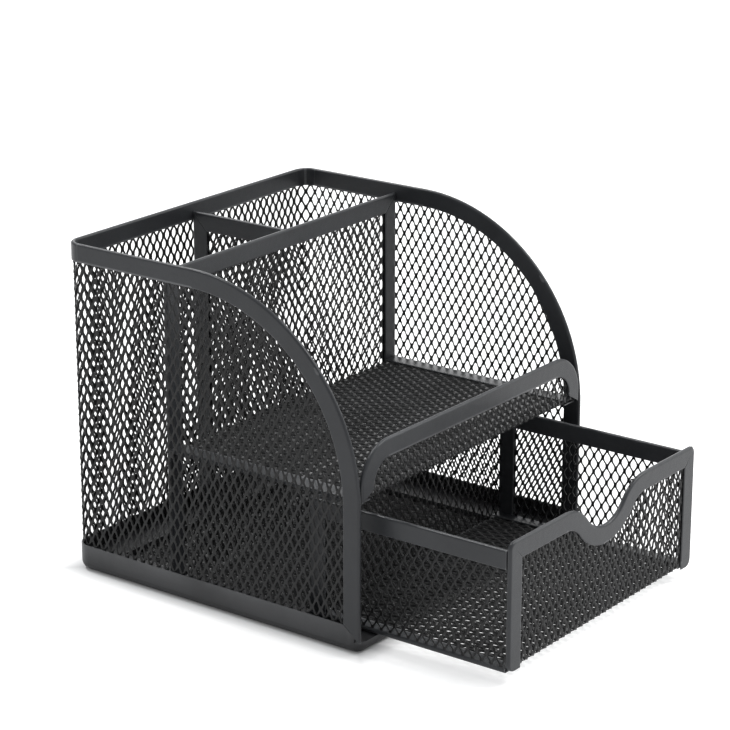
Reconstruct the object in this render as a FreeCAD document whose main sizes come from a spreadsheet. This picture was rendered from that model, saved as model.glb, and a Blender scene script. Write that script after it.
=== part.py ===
import FreeCAD, Part
import Sketcher
import math
import os

# Pen stand with a drawer: a housing of expanded steel mesh bound with folded sheet-steel rims,
# split into two pen compartments, a note tray and a drawer bay, and the drawer that slides in it.
# Millimetres. +Z is up, the drawer pulls out towards -Y, and +X is to the right of someone who
# looks along +Y. The origin is under the middle of the stand with its drawer at rest.

DRIVING_SIZES = [
    ("body_width", 126, "outside, across the side rims"),
    ("body_depth", 120, "outside, front posts to back rim"),
    ("body_height", 114, "table to top of the back rim"),
    ("post_height", 48, "table to where the quarter-round of each side starts"),
    ("corner_radius", 6, "upright back corners, outside"),
    ("front_corner_radius", 4, "front corners of the base, outside"),
    ("sheet_gauge", 0.4, "steel strip of the folded rims"),
    ("mesh_gauge", 0.6, "expanded mesh"),
    ("seam_gap", 0.1, "fit between a rim's walls and the mesh in it"),
    ("rim_width", 6.2, "face width of every folded rim"),
    ("fold_bevel", 0.4, "pressed bevel along a rim's folded edges"),
    ("base_thickness", 4, "folded flange round the bottom"),
    ("skirt_height", 9.2, "table to top of the upstanding skirt"),
    ("base_flange_width", 12, "outer face to inner edge of that flange"),
    ("base_rounding", 3, "lower outer edge of the base"),
    ("bay_depth", 77.5, "front of the posts to the divider"),
    ("divider_drop", 3, "top of the back rim down to top of the divider"),
    ("shelf_height", 50, "table to underside of the note shelf mesh"),
    ("lip_height", 68, "table to top of the note lip"),
    ("lip_corner_radius", 14, "upper corners of the note lip"),
    ("lip_bend_radius", 2, "bend from lip to shelf, outside"),
    ("drawer_width", 108, "outside"),
    ("drawer_length", 76.5, "outside, front rim to back rim"),
    ("drawer_front_height", 42.7, "underside to top of the drawer front"),
    ("drawer_side_height", 40.1, "underside to top of the drawer sides"),
    ("drawer_out", 50, "how far the drawer stands out at rest"),
    ("drawer_bend_radius", 1.3, "bend from drawer floor to front, outside"),
    ("drawer_corner_radius", 2.5, "upper corners and feet of the drawer front"),
    ("running_gap", 0.3, "drawer hems above the base flange"),
    ("hem_width", 5, "folded hem under each side of the drawer"),
    ("notch_depth", 10.8, "finger notch below the top of the drawer front"),
    ("notch_radius", 14, "bottom of the finger notch"),
    ("hump_radius", 16, "shoulders of the finger notch"),
    ("cell_width", 13, "opening pitch of the mesh, short way"),
    ("cell_height", 22, "opening pitch of the mesh, long way"),
    ("strand_width", 1.8, "between two openings of the mesh"),
    ("mesh_margin", 0.6, "from a rim to the first opening"),
]

doc = FreeCAD.newDocument("pen_stand")
sheet = doc.addObject("Spreadsheet::Sheet", "sizes")


class Size:
    """A length that knows its value and the document expression that gives it."""

    def __init__(self, value, text=None):
        self.value = float(value)
        self.text = repr(float(value)) if text is None else text

    def joined(self, other, sign, value):
        return Size(value, f"({self.text} {sign} {other.text})")

    def __add__(self, other):
        other = as_size(other)
        return self.joined(other, "+", self.value + other.value)

    def __sub__(self, other):
        other = as_size(other)
        return self.joined(other, "-", self.value - other.value)

    def __mul__(self, other):
        other = as_size(other)
        return self.joined(other, "*", self.value * other.value)

    def __truediv__(self, other):
        other = as_size(other)
        return self.joined(other, "/", self.value / other.value)

    def __radd__(self, other):
        return as_size(other) + self

    def __rsub__(self, other):
        return as_size(other) - self

    __rmul__ = __mul__

    def __neg__(self):
        return Size(-self.value, f"(-1 * {self.text})")

    def root(self):
        return Size(math.sqrt(self.value), f"sqrt({self.text})")


def as_size(number):
    return number if isinstance(number, Size) else Size(number)


def fill_sheet():
    """Writes the driving sizes and returns them by name."""
    named = {}
    for row, (name, value, note) in enumerate(DRIVING_SIZES, start=1):
        sheet.set(f"A{row}", name)
        sheet.set(f"B{row}", str(value))
        sheet.set(f"C{row}", note)
        sheet.setAlias(f"B{row}", name)
        named[name] = Size(value, f"sizes.{name}")
    doc.recompute()
    return named


size = fill_sheet()

# ---------------------------------------------------------------- places that several pieces share

rim_width = size["rim_width"]
sheet_gauge = size["sheet_gauge"]
mesh_gauge = size["mesh_gauge"]
seam_gap = size["seam_gap"]
slot_width = mesh_gauge + seam_gap * 2
rim_thickness = sheet_gauge * 2 + slot_width
mesh_inset = sheet_gauge + seam_gap          # outer face of a rim to the edge of the mesh in it
overcut = Size(1)                            # how far a cut runs past the metal it opens

half_width = size["body_width"] / 2
front_y = (size["drawer_out"] - size["body_depth"]) / 2
back_y = front_y + size["body_depth"]
body_top = size["body_height"]
corner_y = back_y - size["corner_radius"]    # where the back corners start
shoulder_z = size["post_height"]
shoulder_radius = body_top - shoulder_z
shoulder_y = front_y + shoulder_radius
inner_half = half_width - rim_thickness      # inner faces of the side rims
fitted_half = inner_half - seam_gap          # what stands between the side rims

base_top = size["base_thickness"]
on_base = base_top + seam_gap
skirt_top = size["skirt_height"]
divider_front = front_y + size["bay_depth"]
divider_back = divider_front + rim_thickness
divider_top = body_top - size["divider_drop"]
shelf_z = size["shelf_height"]
shelf_mid = shelf_z + mesh_gauge / 2
lip_top = size["lip_height"]

drawer_half = size["drawer_width"] / 2
drawer_front = front_y - size["drawer_out"]
drawer_back = drawer_front + size["drawer_length"]
drawer_bottom = base_top + size["running_gap"]
drawer_front_top = drawer_bottom + size["drawer_front_height"]
drawer_side_top = drawer_bottom + size["drawer_side_height"]
hem_top = drawer_bottom + rim_thickness
on_hem = hem_top + seam_gap
drawer_floor_z = drawer_bottom + mesh_inset
drawer_sides_start = drawer_front + rim_thickness + seam_gap

ORIGIN_PLANES = {"front": "XZ_Plane", "side": "YZ_Plane", "flat": "XY_Plane"}
TURNED = {
    "front": FreeCAD.Rotation(FreeCAD.Vector(1, 0, 0), 90),
    "side": FreeCAD.Rotation(FreeCAD.Vector(1, 1, 1), 120),
    "flat": FreeCAD.Rotation(),
}
# The direction that a sheet made on each plane thickens towards.
THICKENS = {
    "front": FreeCAD.Vector(0, -1, 0),
    "side": FreeCAD.Vector(1, 0, 0),
    "flat": FreeCAD.Vector(0, 0, 1),
}


# ---------------------------------------------------------------- outlines

def arc_centre(start, end, radius):
    """Centre of the short arc from start to end; a positive radius turns left."""
    across = end - start
    reach = math.sqrt(max(radius * radius - across.Length ** 2 / 4, 0))
    left = FreeCAD.Vector(-across.y, across.x, 0).normalize()
    return (start + end) / 2 + left * math.copysign(reach, radius)


def outline_edges(corners):
    """Edges of a closed outline, each with whether it runs against its own arc.

    A corner is (across, up), or (across, up, radius) where an arc of that radius ends."""
    edges = []
    for place, corner in enumerate(corners):
        following = corners[(place + 1) % len(corners)]
        start = FreeCAD.Vector(corner[0].value, corner[1].value, 0)
        end = FreeCAD.Vector(following[0].value, following[1].value, 0)
        if len(following) == 2:
            edges.append((Part.LineSegment(start, end), False))
            continue
        radius = following[2].value
        centre = arc_centre(start, end, radius)
        circle = Part.Circle(centre, FreeCAD.Vector(0, 0, 1), abs(radius))
        first, last = (start, end) if radius > 0 else (end, start)
        arc = Part.ArcOfCircle(circle, circle.parameter(first), circle.parameter(last))
        edges.append((arc, radius < 0))
    return edges


def outline_wire(corners):
    return Part.Wire([curve.toShape() for curve, _ in outline_edges(corners)])


def bind(item, field, length):
    """Ties a field of a document object to the sheet."""
    item.setExpression(field, length.text)


def outline_sketch(body, name, plane, corners, height=None):
    """A closed sketch on one of the body's origin planes, each corner tied to the sheet."""
    sketch = body.newObject("Sketcher::SketchObject", name)
    role = ORIGIN_PLANES[plane]
    support = next(item for item in body.Origin.OriginFeatures if item.Role == role)
    sketch.AttachmentSupport = [(support, "")]
    sketch.MapMode = "FlatFace"
    if height is not None:
        sketch.AttachmentOffset = FreeCAD.Placement(FreeCAD.Vector(0, 0, height.value), FreeCAD.Rotation())
        bind(sketch, "AttachmentOffset.Base.z", height)
    edges = outline_edges(corners)
    starts = [2 if backwards else 1 for _, backwards in edges]
    for curve, _ in edges:
        sketch.addGeometry(curve, False)
    for place, corner in enumerate(corners):
        before = place - 1 if place else len(edges) - 1
        joined = Sketcher.Constraint("Coincident", before, 3 - starts[before], place, starts[place])
        sketch.addConstraint(joined)
        for kind, length in (("DistanceX", corner[0]), ("DistanceY", corner[1])):
            added = Sketcher.Constraint(kind, -1, 1, place, starts[place], length.value)
            bind(sketch, f"Constraints[{sketch.addConstraint(added)}]", length)
        if len(corner) == 3:
            radius = corner[2] if corner[2].value > 0 else -corner[2]
            added = Sketcher.Constraint("Radius", before, radius.value)
            bind(sketch, f"Constraints[{sketch.addConstraint(added)}]", radius)
    return sketch


# ---------------------------------------------------------------- features

def new_body(name, **at):
    """A body of its own name, its Placement tied to the sheet."""
    body = doc.addObject("PartDesign::Body", name)
    body.Label = name
    for axis, length in at.items():
        bind(body, f".Placement.Base.{axis}", length)
    return body


def pad(body, sketch, length, both_ways=True):
    feature = body.newObject("PartDesign::Pad", f"{body.Name}_pad")
    feature.Profile = sketch
    feature.SideType = "Symmetric" if both_ways else "One side"
    bind(feature, "Length", length)
    doc.recompute()
    return feature


def pocket(body, sketch, length, both_ways=True, upward=False):
    """A cut from a sketch, which has to take metal away."""
    before = body.Shape.Volume
    feature = body.newObject("PartDesign::Pocket", f"{body.Name}_pocket")
    feature.Profile = sketch
    feature.SideType = "Symmetric" if both_ways else "One side"
    feature.Reversed = upward
    bind(feature, "Length", length)
    doc.recompute()
    if feature.Shape.Volume >= before:
        raise RuntimeError(f"{feature.Name} cuts nothing")
    return feature


def edge_names(body, base, chosen):
    """Names of the edges of base whose middle point passes the chosen test."""
    names = []
    for number, edge in enumerate(base.Shape.Edges, start=1):
        middle = edge.valueAt((edge.FirstParameter + edge.LastParameter) / 2)
        if chosen(middle):
            names.append(f"Edge{number}")
    if not names:
        raise RuntimeError(f"{body.Name} has no such edge")
    return names


def fillet(body, base, radius, chosen):
    feature = body.newObject("PartDesign::Fillet", f"{body.Name}_rounding")
    feature.Base = (base, edge_names(body, base, chosen))
    bind(feature, "Radius", radius)
    doc.recompute()
    return feature


def bevel(body, base, width, chosen):
    feature = body.newObject("PartDesign::Chamfer", f"{body.Name}_bevel")
    feature.Base = (base, edge_names(body, base, chosen))
    bind(feature, "Size", width)
    doc.recompute()
    return feature


def folded_rim(name, plane, at, metal, slot, fold):
    """A strip folded over the edge of the mesh: a band with bevelled folds and a slot.

    metal and slot are closed outlines; fold is the part of the metal's outline, as corners,
    that the strip is folded along."""
    body = new_body(name, **at)
    band = pad(body, outline_sketch(body, f"{name}_outline", plane, metal), rim_thickness)
    folded_edge = Part.Wire([curve.toShape() for curve, _ in outline_edges(fold)[:-1]])
    turn = TURNED[plane]

    def on_fold(middle):
        flat = turn.inverted().multVec(middle)
        on_face = abs(abs(flat.z) - rim_thickness.value / 2) < 1e-4
        flat.z = 0
        return on_face and folded_edge.distToShape(Part.Vertex(flat))[0] < 1e-3

    bevel(body, band, size["fold_bevel"], on_fold)
    pocket(body, outline_sketch(body, f"{name}_slot", plane, slot), slot_width)
    return body


# ---------------------------------------------------------------- expanded mesh

def cell_centres(low, high):
    """Centres of the staggered openings that a rectangle can hold, about its own middle."""
    pitch_across = size["cell_width"].value
    pitch_up = size["cell_height"].value / 2
    middle = (low + high) / 2
    rows = int((high.y - low.y) / 2 / pitch_up) + 1
    columns = int((high.x - low.x) / 2 / pitch_across) + 1
    for row in range(-rows, rows + 1):
        shift = pitch_across / 2 if row % 2 else 0
        for column in range(-columns - 1, columns + 1):
            yield middle + FreeCAD.Vector(column * pitch_across + shift, row * pitch_up, 0)


def diamond(centre):
    """Outline of one opening, its long way up, with half a strand taken off all round."""
    half_across = size["cell_width"].value / 2
    half_up = size["cell_height"].value / 2
    to_strand = half_across * half_up / math.hypot(half_across, half_up)
    kept = 1 - size["strand_width"].value / 2 / to_strand
    tips = [(half_across, 0), (0, half_up), (-half_across, 0), (0, -half_up)]
    points = [centre + FreeCAD.Vector(across, up, 0) * kept for across, up in tips]
    return Part.makePolygon(points + points[:1])


def mesh_blank(sheet_outline, window):
    """A mesh sheet lying flat: an outline with an opening wherever a whole one fits the window."""
    margin = size["mesh_margin"].value
    opening = outline_wire(window)
    pane = Part.Face(opening)
    box = opening.BoundBox
    low, high = FreeCAD.Vector(box.XMin, box.YMin, 0), FreeCAD.Vector(box.XMax, box.YMax, 0)
    holes = []
    for centre in cell_centres(low, high):
        hole = diamond(centre)
        inside = all(pane.isInside(tip.Point, 1e-6, True) for tip in hole.Vertexes)
        if inside and opening.distToShape(hole)[0] > margin:
            holes.append(hole)
    face = Part.makeFace([outline_wire(sheet_outline)] + holes, "Part::FaceMakerBullseye")
    return face.extrude(FreeCAD.Vector(0, 0, mesh_gauge.value))


def place_mesh(name, solid, plane, near_face):
    """Stands a flat mesh sheet up on its plane, its first face at near_face along the normal."""
    sub_part = doc.addObject("Part::Feature", name)
    sub_part.Label = name
    sub_part.Shape = solid
    sub_part.Placement = FreeCAD.Placement(THICKENS[plane] * near_face.value, TURNED[plane])
    return sub_part


def rectangle(left, low, right, high):
    return [(left, low), (right, low), (right, high), (left, high)]


def quarter_tube(centre, axis, start, outer_radius, length):
    """A quarter turn of bent mesh; start points from the axis to where the bend begins."""
    end = axis.cross(start)
    middle = (start + end).normalize()
    inner_radius = outer_radius - mesh_gauge.value
    outside = [centre + spoke * outer_radius for spoke in (start, middle, end)]
    inside = [centre + spoke * inner_radius for spoke in (end, middle, start)]
    wire = Part.Wire([
        Part.Arc(*outside).toShape(),
        Part.LineSegment(outside[2], inside[0]).toShape(),
        Part.Arc(*inside).toShape(),
        Part.LineSegment(inside[2], outside[0]).toShape(),
    ])
    return Part.Face(wire).extrude(axis * length)


# ---------------------------------------------------------------- sides

def side_band(outer, inner, low, end, mitred):
    """Post, quarter-round and top of a side, between two distances in from its outline."""
    left, top = front_y + outer, body_top - outer
    inner_left, inner_top = front_y + inner, body_top - inner
    foot = skirt_top + seam_gap if mitred else low
    return [
        (inner_left, foot),
        (left, low),
        (left, shoulder_z),
        (shoulder_y, top, -(shoulder_radius - outer)),
        (end, top),
        (end, inner_top),
        (shoulder_y, inner_top),
        (inner_left, shoulder_z, shoulder_radius - inner),
    ]


def side_rim(name, middle_x):
    metal = side_band(Size(0), rim_width, on_base, corner_y, True)
    slot = side_band(sheet_gauge, rim_width + overcut, on_base - overcut, corner_y + overcut, False)
    return folded_rim(name, "side", {"x": middle_x}, metal, slot, metal[1:5])


def side_mesh(name, near_face):
    outline = side_band(mesh_inset, rim_width, on_base, corner_y - seam_gap, False)
    outline = outline[1:5] + [(corner_y - seam_gap, on_base)]
    window = side_band(rim_width, rim_width, skirt_top, corner_y, False)[1:5]
    window = window + [(corner_y, skirt_top)]
    place_mesh(name, mesh_blank(outline, window), "side", near_face)


# ---------------------------------------------------------------- back

def rounded_back(inset, low_y):
    """Plan outline of the back inside an inset, from low_y, as the corners of its outer line."""
    radius = size["corner_radius"] - inset
    turn = half_width - size["corner_radius"]
    return [
        (half_width - inset, low_y),
        (half_width - inset, corner_y),
        (turn, back_y - inset, radius),
        (-turn, back_y - inset),
        (inset - half_width, corner_y, radius),
        (inset - half_width, low_y),
    ]


def back_band(outer, inner):
    """Plan of a strip round the back and its two corners, between two insets."""
    outside = rounded_back(outer, corner_y)[1:5]
    inside = rounded_back(inner, corner_y)[1:5]
    (right_x, right_y), back_right, back_left, (left_x, left_y, turn) = inside
    inner_side = [
        (left_x, left_y),
        (back_left[0], back_left[1], -turn),
        (back_right[0], back_right[1]),
        (right_x, right_y, -turn),
    ]
    return outside + inner_side


def back_rim():
    body = new_body("back_rim", z=body_top - rim_width)
    strip = outline_sketch(body, "back_rim_outline", "flat", back_band(Size(0), rim_thickness))
    band = pad(body, strip, rim_width, both_ways=False)

    def top_edge(middle):
        at_end = abs(middle.y - corner_y.value) < 1e-3
        return abs(middle.z - rim_width.value) < 1e-3 and not at_end

    bevel(body, band, size["fold_bevel"], top_edge)
    slot = back_band(sheet_gauge, sheet_gauge + slot_width)
    slot_sketch = outline_sketch(body, "back_rim_slot", "flat", slot)
    pocket(body, slot_sketch, rim_width - sheet_gauge, both_ways=False, upward=True)
    return body


def back_mesh():
    """The back of the mesh wrap with the two upright bends that meet the side meshes."""
    turn = half_width - size["corner_radius"]
    top = body_top - mesh_inset
    outline = rectangle(-turn, on_base, turn, top)
    window = rectangle(-turn, skirt_top, turn, body_top - rim_width)
    flat = mesh_blank(outline, window)
    flat.Placement = FreeCAD.Placement(THICKENS["front"] * -(back_y - mesh_inset).value, TURNED["front"])
    radius = (size["corner_radius"] - mesh_inset).value
    height = (top - on_base).value
    up = FreeCAD.Vector(0, 0, 1)
    right_axis = FreeCAD.Vector(turn.value, corner_y.value, on_base.value)
    left_axis = FreeCAD.Vector(-turn.value, corner_y.value, on_base.value)
    right = quarter_tube(right_axis, up, FreeCAD.Vector(1, 0, 0), radius, height)
    left = quarter_tube(left_axis, up, FreeCAD.Vector(0, 1, 0), radius, height)
    sub_part = doc.addObject("Part::Feature", "back_mesh")
    sub_part.Label = "back_mesh"
    sub_part.Shape = flat.fuse([right, left])
    sub_part.Placement = FreeCAD.Placement()
    return sub_part


# ---------------------------------------------------------------- base

def base_plan():
    """Plan of the base: the rounded back and two smaller rounded front corners."""
    bend = size["front_corner_radius"]
    back = rounded_back(Size(0), front_y + bend)
    return [(bend - half_width, front_y, bend), (half_width - bend, front_y),
            (half_width, front_y + bend, bend)] + back[1:]


def base_frame():
    """Folded flange all round with an upstanding skirt at the sides and back."""
    body = new_body("base_frame")
    plan = outline_sketch(body, "base_plan", "flat", base_plan())
    footprint = pad(body, plan, skirt_top, both_ways=False)

    def lower_edge(middle):
        return abs(middle.z) < 1e-3

    fillet(body, footprint, size["base_rounding"], lower_edge)

    inside = rounded_back(sheet_gauge, front_y - overcut)
    hollow = outline_sketch(body, "base_hollow", "flat", inside, skirt_top)
    pocket(body, hollow, skirt_top - base_top, both_ways=False)

    # The skirt's front ends are mitred where the posts come down on the flange.
    past = overcut * (skirt_top - base_top) / rim_width
    mitre = [
        (front_y - overcut, base_top - past),
        (front_y + rim_width + overcut, skirt_top + past),
        (front_y - overcut, skirt_top + past),
    ]
    pocket(body, outline_sketch(body, "base_mitre", "side", mitre), size["body_width"] + overcut * 2)

    flange = size["base_flange_width"]
    hole = rectangle(flange - half_width, front_y + flange, half_width - flange, back_y - flange)
    window = outline_sketch(body, "base_window", "flat", hole)
    pocket(body, window, base_top, both_ways=False, upward=True)

    reach = flange - rim_width
    groove = rectangle(reach - half_width, front_y + reach, half_width - reach, back_y - reach)
    groove_sketch = outline_sketch(body, "base_groove", "flat", groove, (base_top - slot_width) / 2)
    pocket(body, groove_sketch, slot_width, both_ways=False, upward=True)
    return body


def floor_mesh():
    flange = size["base_flange_width"]
    reach = flange - rim_width + seam_gap
    outline = rectangle(reach - half_width, front_y + reach, half_width - reach, back_y - reach)
    window = rectangle(flange - half_width, front_y + flange, half_width - flange, back_y - flange)
    place_mesh("floor_mesh", mesh_blank(outline, window), "flat", (base_top - mesh_gauge) / 2)


# ---------------------------------------------------------------- divider and pen partition

def arch(half, top, low, inset, corner=None):
    """Open side and top line of an upright frame, inset from its outside, left foot to right."""
    reach, crown = half - inset, top - inset
    if corner is None:
        return [(-reach, low), (-reach, crown), (reach, crown), (reach, low)]
    bend = corner - inset
    return [
        (-reach, low),
        (-reach, crown - bend),
        (bend - reach, crown, -bend),
        (reach - bend, crown),
        (reach, crown - bend, -bend),
        (reach, low),
    ]


def returned(line):
    """The same line walked backwards, with its arcs turning the other way."""
    walked = []
    for place in range(len(line) - 1, -1, -1):
        after = line[place + 1] if place + 1 < len(line) else None
        corner = line[place][:2]
        if after is not None and len(after) == 3:
            corner = corner + (-after[2],)
        walked.append(corner)
    return walked


def band_between(line_of, outer, inner):
    """Closed outline between a line at one inset and the same line at another."""
    return line_of(outer) + returned(line_of(inner))


def upright_frame(name, middle_y, half, top, low, corner=None):
    def line(inset, foot=low):
        return arch(half, top, foot, inset, corner)

    def slot_line(inset):
        return line(inset, low - overcut)

    metal = band_between(line, Size(0), rim_width)
    slot = band_between(slot_line, sheet_gauge, rim_width + overcut)
    return folded_rim(name, "front", {"y": middle_y}, metal, slot, line(Size(0)))


def divider():
    middle = (divider_front + divider_back) / 2
    upright_frame("divider_frame", middle, fitted_half, divider_top, on_base)
    reach = fitted_half - mesh_inset
    outline = rectangle(-reach, on_base, reach, divider_top - mesh_inset)
    pane = fitted_half - rim_width
    window = rectangle(-pane, on_base, pane, divider_top - rim_width)
    place_mesh("divider_mesh", mesh_blank(outline, window), "front", -(middle + mesh_gauge / 2))


def gallows_line(start, end, top, low):
    """Top and back line of a frame that has a rim along its top and a leg at its back."""
    def line(inset):
        return [(start, top - inset), (end - inset, top - inset), (end - inset, low)]
    return line


def gallows_frame(name, middle_x, start, end, top, low):
    line = gallows_line(start, end, top, low)
    slot_line = gallows_line(start - overcut, end, top, low - overcut)
    metal = band_between(line, Size(0), rim_width)
    slot = band_between(slot_line, sheet_gauge, rim_width + overcut)
    return folded_rim(name, "side", {"x": middle_x}, metal, slot, line(Size(0)))


def pen_partition():
    start = divider_back + seam_gap
    end = back_y - rim_thickness - seam_gap
    gallows_frame("pen_partition_frame", Size(0), start, end, divider_top, on_base)
    outline = rectangle(start, on_base, end - mesh_inset, divider_top - mesh_inset)
    window = rectangle(start, on_base, end - rim_width, divider_top - rim_width)
    place_mesh("pen_partition_mesh", mesh_blank(outline, window), "side", -(mesh_gauge / 2))


# ---------------------------------------------------------------- note tray

def note_lip():
    """The upright lip of the note tray, whose mesh bends back into the shelf."""
    middle = front_y + rim_thickness / 2
    bend_corner = size["lip_corner_radius"]
    upright_frame("note_lip_rim", middle, fitted_half, lip_top, shelf_z, bend_corner)
    bend = size["lip_bend_radius"]
    outline = arch(fitted_half, lip_top, shelf_z + bend, mesh_inset, bend_corner)
    window = arch(fitted_half, lip_top, shelf_z + bend, rim_width, bend_corner)
    flat = mesh_blank(outline, window)
    face_y = front_y + mesh_inset
    flat.Placement = FreeCAD.Placement(THICKENS["front"] * -(face_y + mesh_gauge).value, TURNED["front"])
    half = fitted_half - rim_width - seam_gap
    axis = FreeCAD.Vector(-half.value, (face_y + bend).value, (shelf_z + bend).value)
    along, forward = FreeCAD.Vector(1, 0, 0), FreeCAD.Vector(0, -1, 0)
    curve = quarter_tube(axis, along, forward, bend.value, half.value * 2)
    sub_part = doc.addObject("Part::Feature", "note_lip_mesh")
    sub_part.Label = "note_lip_mesh"
    sub_part.Shape = flat.fuse(curve)
    sub_part.Placement = FreeCAD.Placement()


def note_shelf():
    start = front_y + mesh_inset + size["lip_bend_radius"]
    end = divider_front - seam_gap
    reach = fitted_half - mesh_inset
    rail_start = front_y + rim_thickness + seam_gap
    outline = [
        (-reach, rail_start), (-(fitted_half - rim_width), rail_start),
        (-(fitted_half - rim_width), start), (fitted_half - rim_width, start),
        (fitted_half - rim_width, rail_start), (reach, rail_start),
        (reach, end), (-reach, end),
    ]
    pane = fitted_half - rim_width
    place_mesh("note_shelf_mesh", mesh_blank(outline, rectangle(-pane, start, pane, end)), "flat", shelf_z)
    for name, side in (("note_shelf_rail_left", -1), ("note_shelf_rail_right", 1)):
        folded_runner(name, side, fitted_half, rim_width, shelf_mid, rail_start, end)


def folded_runner(name, side, outer_x, width, middle_z, start, end):
    """A folded strip that runs front to back along the edge of a level mesh."""
    body = new_body(name, y=start, z=middle_z)
    half, length = rim_thickness / 2, end - start
    section = rectangle((outer_x - width) * side, -half, outer_x * side, half)
    strip = pad_back(body, outline_sketch(body, f"{name}_section", "front", section), length)

    def folded_edge(middle):
        on_outside = abs(middle.x - outer_x.value * side) < 1e-3
        runs_back = abs(middle.y - length.value / 2) < 1e-3
        return on_outside and runs_back

    bevel(body, strip, size["fold_bevel"], folded_edge)
    bottom = (outer_x - sheet_gauge) * side
    mouth = (outer_x - width - overcut) * side
    half_slot = slot_width / 2
    slot = rectangle(mouth, -half_slot, bottom, half_slot)
    slot_sketch = outline_sketch(body, f"{name}_slot", "front", slot)
    pocket(body, slot_sketch, length * 2 + overcut)
    return body


def pad_back(body, sketch, length):
    """Pads a sketch on the front plane towards the back."""
    feature = body.newObject("PartDesign::Pad", f"{body.Name}_pad")
    feature.Profile = sketch
    feature.Reversed = True
    bind(feature, "Length", length)
    doc.recompute()
    return feature


# ---------------------------------------------------------------- drawer

def rounded_corner(side, half, top, bend):
    """Corner of the drawer front: an arc, or a plain corner once an inset has used its radius up."""
    if bend.value <= 0:
        return [(half * side, top)]
    upright, level = (half * side, top - bend), ((half - bend) * side, top)
    return [level, upright + (-bend,)] if side > 0 else [upright, level + (-bend,)]


def notched_line(low):
    """Outline of the drawer front, from its left foot over the finger notch to its right foot."""
    hump, notch = size["hump_radius"], size["notch_radius"]
    reach = hump + notch
    drop = reach - size["notch_depth"]
    hump_x = (reach * reach - drop * drop).root()
    notch_z = drawer_front_top - size["notch_depth"] + notch
    hump_z = drawer_front_top - hump

    def line(inset):
        half, top = drawer_half - inset, drawer_front_top - inset
        tight, wide = hump - inset, notch + inset
        meet_x = hump_x * (1 - tight / reach)
        meet_z = hump_z + (notch_z - hump_z) * tight / reach
        bend = size["drawer_corner_radius"] - inset
        notch_line = [
            (-hump_x, top),
            (-meet_x, meet_z, -tight),
            (meet_x, meet_z, wide),
            (hump_x, top, -tight),
        ]
        left, right = rounded_corner(-1, half, top, bend), rounded_corner(1, half, top, bend)
        return [(-half, low)] + left + notch_line + right + [(half, low)]
    return line


def with_rounded_feet(line, foot_radius):
    """The same line with its first and last corners, the feet, rounded on the outside."""
    (left, low), (right, _) = line[0], line[-1]
    start = [(left + foot_radius, low), (left, low + foot_radius, -foot_radius)]
    end = [(right, low + foot_radius), (right - foot_radius, low, -foot_radius)]
    return start + line[1:-1] + end


def drawer_face():
    foot = drawer_bottom + sheet_gauge
    foot_radius = size["drawer_corner_radius"]
    line = notched_line(foot)
    outside = with_rounded_feet(line(Size(0)), foot_radius)
    middle = drawer_front + rim_thickness / 2
    slot = band_between(notched_line(foot + foot_radius / 2), sheet_gauge, rim_width + overcut)
    metal = outside + returned(line(rim_width))
    folded_rim("drawer_front_rim", "front", {"y": middle}, metal, slot, outside)

    bend = size["drawer_bend_radius"]
    floor_bend = drawer_floor_z + bend
    flat = mesh_blank(notched_line(floor_bend)(mesh_inset), notched_line(floor_bend)(rim_width))
    face_y = drawer_front + mesh_inset
    flat.Placement = FreeCAD.Placement(THICKENS["front"] * -(face_y + mesh_gauge).value, TURNED["front"])
    half = drawer_half - rim_width - seam_gap
    axis = FreeCAD.Vector(-half.value, (face_y + bend).value, floor_bend.value)
    along, forward = FreeCAD.Vector(1, 0, 0), FreeCAD.Vector(0, -1, 0)
    curve = quarter_tube(axis, along, forward, bend.value, half.value * 2)
    sub_part = doc.addObject("Part::Feature", "drawer_front_mesh")
    sub_part.Label = "drawer_front_mesh"
    sub_part.Shape = flat.fuse(curve)
    sub_part.Placement = FreeCAD.Placement()


def drawer_floor():
    start = drawer_front + mesh_inset + size["drawer_bend_radius"] + seam_gap
    end = drawer_back - mesh_inset
    reach = drawer_half - mesh_inset
    pane = drawer_half - size["hem_width"]
    outline = rectangle(-reach, start, reach, end)
    solid = mesh_blank(outline, rectangle(-pane, start, pane, end))
    place_mesh("drawer_floor_mesh", solid, "flat", drawer_floor_z)
    hem_mid = drawer_bottom + rim_thickness / 2
    for name, side in (("drawer_left_hem", -1), ("drawer_right_hem", 1)):
        folded_runner(name, side, drawer_half, size["hem_width"], hem_mid, drawer_sides_start, drawer_back)


def drawer_sides():
    start = drawer_sides_start
    middle = drawer_half - rim_thickness / 2
    outline = rectangle(start, on_hem, drawer_back - mesh_inset, drawer_side_top - mesh_inset)
    window = rectangle(start, on_hem, drawer_back - rim_width, drawer_side_top - rim_width)
    for word, side in (("left", -1), ("right", 1)):
        gallows_frame(f"drawer_{word}_rim", middle * side, start, drawer_back, drawer_side_top, on_hem)
        near_face = middle * side - mesh_gauge / 2
        place_mesh(f"drawer_{word}_mesh", mesh_blank(outline, window), "side", near_face)


def drawer_back_wall():
    middle = drawer_back - rim_thickness / 2
    half = drawer_half - rim_thickness - seam_gap
    low = drawer_side_top - rim_width

    def line(inset, past=Size(0)):
        return [(-(half + past), drawer_side_top - inset), (half + past, drawer_side_top - inset)]

    def slot_line(inset):
        return line(inset, overcut)

    metal = band_between(line, Size(0), rim_width)
    slot = band_between(slot_line, sheet_gauge, rim_width + overcut)
    folded_rim("drawer_back_rim", "front", {"y": middle}, metal, slot, line(Size(0)))
    outline = rectangle(-half, on_hem, half, drawer_side_top - mesh_inset)
    window = rectangle(-half, on_hem, half, low)
    place_mesh("drawer_back_mesh", mesh_blank(outline, window), "front", -(middle + mesh_gauge / 2))


# ---------------------------------------------------------------- build, test and write

def sub_parts():
    """The finished pieces: every body, and every mesh sheet."""
    return [item for item in doc.Objects if item.TypeId in ("PartDesign::Body", "Part::Feature")]


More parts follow.
